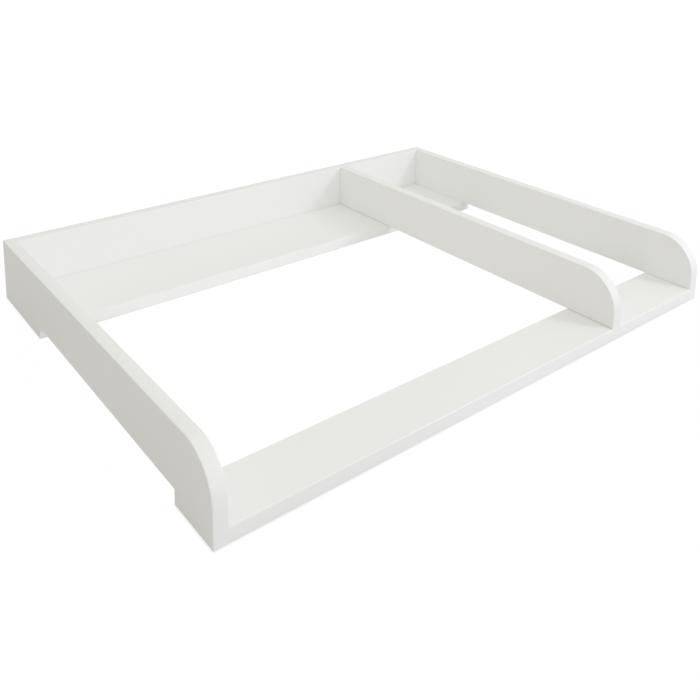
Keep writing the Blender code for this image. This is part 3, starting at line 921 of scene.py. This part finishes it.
def floor():
    bm = bmesh.new()
    bmesh.ops.create_grid(bm, x_segments=8, y_segments=8, size=30)
    obj = link_mesh("studio_floor", bm, None)
    obj.location.z = LOW.z - 0.3 * MM
    material = bpy.data.materials.new("studio_floor_white")
    material.use_nodes = True
    tree = material.node_tree
    shader = tree.nodes["Principled BSDF"]
    shader.inputs["Base Color"].default_value = FLOOR_TONE
    shader.inputs["Roughness"].default_value = 0.9
    shader.inputs["Specular IOR Level"].default_value = 0.1
    # Painted light: the floor colour is paler under the openings between the boards, standing in for the brighter
    # light that comes up through them.
    place_on_floor = tree.nodes.new("ShaderNodeNewGeometry")
    centred = tree.nodes.new("ShaderNodeVectorMath")
    centred.operation = "LENGTH"
    squashed = tree.nodes.new("ShaderNodeMapping")
    squashed.inputs["Scale"].default_value = (1.0, 1.35, 0.0)
    tree.links.new(place_on_floor.outputs["Position"], squashed.inputs["Vector"])
    tree.links.new(squashed.outputs["Vector"], centred.inputs[0])
    inner = tree.nodes.new("ShaderNodeMapRange")
    inner.interpolation_type = "SMOOTHSTEP"
    tree.links.new(centred.outputs["Value"], inner.inputs["Value"])
    for key, value in (("From Min", 0.42), ("From Max", 0.62), ("To Min", 1.0), ("To Max", 0.0)):
        inner.inputs[key].default_value = value
    blend = tree.nodes.new("ShaderNodeMix")
    blend.data_type = "RGBA"
    tree.links.new(inner.outputs[0], blend.inputs[0])
    blend.inputs[6].default_value = FLOOR_TONE
    blend.inputs[7].default_value = PAINTED_LIGHT_FLOOR_TONE
    tree.links.new(blend.outputs[2], shader.inputs["Base Color"])
    glow = tree.nodes.new("ShaderNodeEmission")
    glow.inputs["Color"].default_value = (1.03, 1.03, 1.03, 1)
    path = tree.nodes.new("ShaderNodeLightPath")

    def maths(operation, *values):
        node = tree.nodes.new("ShaderNodeMath")
        node.operation = operation
        for socket, value in enumerate(values):
            if isinstance(value, bpy.types.NodeSocket):
                tree.links.new(value, node.inputs[socket])
            else:
                node.inputs[socket].default_value = value
        return node.outputs[0]

    def mixed(factor, first, second):
        node = tree.nodes.new("ShaderNodeMixShader")
        for socket, value in enumerate((factor, first, second)):
            tree.links.new(value, node.inputs[socket])
        return node.outputs[0]

    # Seen directly, the floor is lit almost evenly, and runs out into the white of the room.
    geometry = tree.nodes.new("ShaderNodeNewGeometry")
    far = tree.nodes.new("ShaderNodeVectorMath")
    far.operation = "LENGTH"
    tree.links.new(geometry.outputs["Position"], far.inputs[0])
    fade = tree.nodes.new("ShaderNodeMapRange")
    fade.interpolation_type = "SMOOTHSTEP"
    tree.links.new(far.outputs["Value"], fade.inputs["Value"])
    for key, value in (("From Min", 0.5), ("From Max", 1.6), ("To Min", FLOOR_GLOW), ("To Max", 1.0)):
        fade.inputs[key].default_value = value
    # A hair of shadow lies where the boards meet it.
    contact = tree.nodes.new("ShaderNodeAmbientOcclusion")
    contact.samples = 8
    contact.inputs["Distance"].default_value = 0.004
    open_sky = maths("SUBTRACT", 1.0, maths("MULTIPLY", maths("SUBTRACT", 1.0, contact.outputs["AO"]), CONTACT))
    tree.links.new(open_sky, glow.inputs["Strength"])
    camera_ray = path.outputs["Is Camera Ray"]
    seen = mixed(maths("MULTIPLY", camera_ray, fade.outputs[0]), shader.outputs[0], glow.outputs[0])
    # With the camera underneath, the floor is away, so that the underside of the top is lit and can be looked at.
    clear = tree.nodes.new("ShaderNodeBsdfTransparent")
    below = tree.nodes.new("ShaderNodeValue")
    below.name = "camera_below_floor"
    below.outputs[0].default_value = 0.0
    seen = mixed(below.outputs[0], seen, clear.outputs[0])
    tree.links.new(seen, tree.nodes["Material Output"].inputs["Surface"])
    obj.data.materials.append(material)
    return below


def world():
    made = bpy.data.worlds.new("studio")
    bpy.context.scene.world = made
    made.use_nodes = True
    tree = made.node_tree
    back = tree.nodes["Background"]
    coords = tree.nodes.new("ShaderNodeTexCoord")
    axes = tree.nodes.new("ShaderNodeSeparateXYZ")
    tree.links.new(coords.outputs["Generated"], axes.inputs[0])

    def vector(operation, **values):
        node = tree.nodes.new("ShaderNodeVectorMath")
        node.operation = operation
        for socket, value in values.items():
            index = {"a": 0, "b": 1, "scale": 3}[socket]
            if isinstance(value, bpy.types.NodeSocket):
                tree.links.new(value, node.inputs[index])
            else:
                node.inputs[index].default_value = value
        return node.outputs[0]

    # A big soft room: its light changes evenly from side to side, front to back and floor to ceiling.
    total = vector("ADD", a=SKY_BASE, b=(0, 0, 0))
    for axis, weight in zip("XYZ", SKY_SLOPES):
        total = vector("ADD", a=total, b=vector("SCALE", a=weight, scale=axes.outputs[axis]))
    above = vector("MAXIMUM", a=total, b=(0.0, 0.0, 0.0))
    # Under the horizon, which only the underside sees, it is an even grey.
    horizon = tree.nodes.new("ShaderNodeMapRange")
    tree.links.new(axes.outputs["Z"], horizon.inputs["Value"])
    for key, value in (("From Min", -0.02), ("From Max", -0.12), ("To Min", 0.0), ("To Max", 1.0)):
        horizon.inputs[key].default_value = value
    lower = tree.nodes.new("ShaderNodeMix")
    lower.data_type = "RGBA"
    tree.links.new(horizon.outputs[0], lower.inputs[0])
    tree.links.new(above, lower.inputs[6])
    lower.inputs[7].default_value = (0.52, 0.52, 0.52, 1)
    level = lower.outputs[2]
    path = tree.nodes.new("ShaderNodeLightPath")
    mixer = tree.nodes.new("ShaderNodeMix")
    mixer.data_type = "RGBA"
    tree.links.new(path.outputs["Is Camera Ray"], mixer.inputs[0])
    tree.links.new(level, mixer.inputs[6])
    mixer.inputs[7].default_value = (1, 1, 1, 1)
    tree.links.new(mixer.outputs[2], back.inputs["Color"])
    back.inputs["Strength"].default_value = 1.0


def area(name, position, target, size, power, color):
    data = bpy.data.lights.new(name, "AREA")
    data.shape = "DISK"
    data.size = size
    data.energy = power
    data.color = color
    obj = bpy.data.objects.new(name, data)
    bpy.context.scene.collection.objects.link(obj)
    obj.location = position
    obj.rotation_mode = "QUATERNION"
    obj.rotation_quaternion = (target - position).to_track_quat("-Z", "Y")
    return obj


FLOOR_GLOW = 0.95
CONTACT = 0.5
FLOOR_TONE = (0.50, 0.50, 0.495, 1)
PAINTED_LIGHT_FLOOR_TONE = (0.92, 0.92, 0.915, 1)
SKY_BASE = (0.592, 0.533, 0.591)
SKY_SLOPES = ((0.199, 0.216, 0.245), (-0.220, -0.248, -0.251), (0.133, 0.229, 0.058))
FILLS = ()
KEY_POWER = 7.69
KEY_COLOR = (0.875, 0.914, 1.000)

camera_below_floor = floor()
world()
for name, position, target, size, power, color in FILLS:
    area(name, Vector(position), Vector(target), size, power, color)
area("key", Vector((1.057, -1.50, 0.875)), Vector((0, 0, 0.05)), 0.36, KEY_POWER, KEY_COLOR)

scene = bpy.context.scene
scene.view_settings.view_transform = "Standard"
scene.view_settings.look = "None"
scene.view_settings.exposure = 0.0
scene.view_settings.gamma = 1.9

# The camera stands in front of the left side, level with a person who looks down at the top.
camera_data = bpy.data.cameras.new("camera")
camera = bpy.data.objects.new("camera", camera_data)
scene.collection.objects.link(camera)
scene.camera = camera
camera_data.sensor_width = 36
camera_data.lens = 42.05
camera_data.clip_start, camera_data.clip_end = 0.01, 200
right = Vector((0.78769964, -0.61592046, 0.01308681))
down = Vector((-0.10486013, -0.1549777, -0.98233714))
forward = Vector((0.60706971, 0.77241433, -0.18666138))
CAMERA_AT = Vector((-0.94710, -1.14166, 0.74047))
camera.rotation_mode = "QUATERNION"
camera.rotation_quaternion = Matrix((right, -down, -forward)).transposed().to_quaternion()
camera.location = CAMERA_AT

# The lens is shifted, as on a view camera, while the camera stands here, and centred anywhere else.
for path, value in (("shift_x", 0.01766), ("shift_y", -0.40586)):
    driver = camera_data.driver_add(path).driver
    driver.type = "SCRIPTED"
    for name, index in (("px", 0), ("py", 1), ("pz", 2)):
        variable = driver.variables.new()
        variable.name = name
        variable.type = "SINGLE_PROP"
        variable.targets[0].id = camera
        variable.targets[0].data_path = f"location[{index}]"
    driver.expression = (
        f"{value} if abs(px - {CAMERA_AT.x:.5f}) + abs(py - {CAMERA_AT.y:.5f})"
        f" + abs(pz - {CAMERA_AT.z:.5f}) < 0.001 else 0"
    )

driver = camera_below_floor.outputs[0].driver_add("default_value").driver
driver.type = "SCRIPTED"
variable = driver.variables.new()
variable.name = "pz"
variable.type = "SINGLE_PROP"
variable.targets[0].id = camera
variable.targets[0].data_path = "location[2]"
driver.expression = f"1 if pz < {LOW.z:.4f} else 0"

bpy.context.view_layer.update()
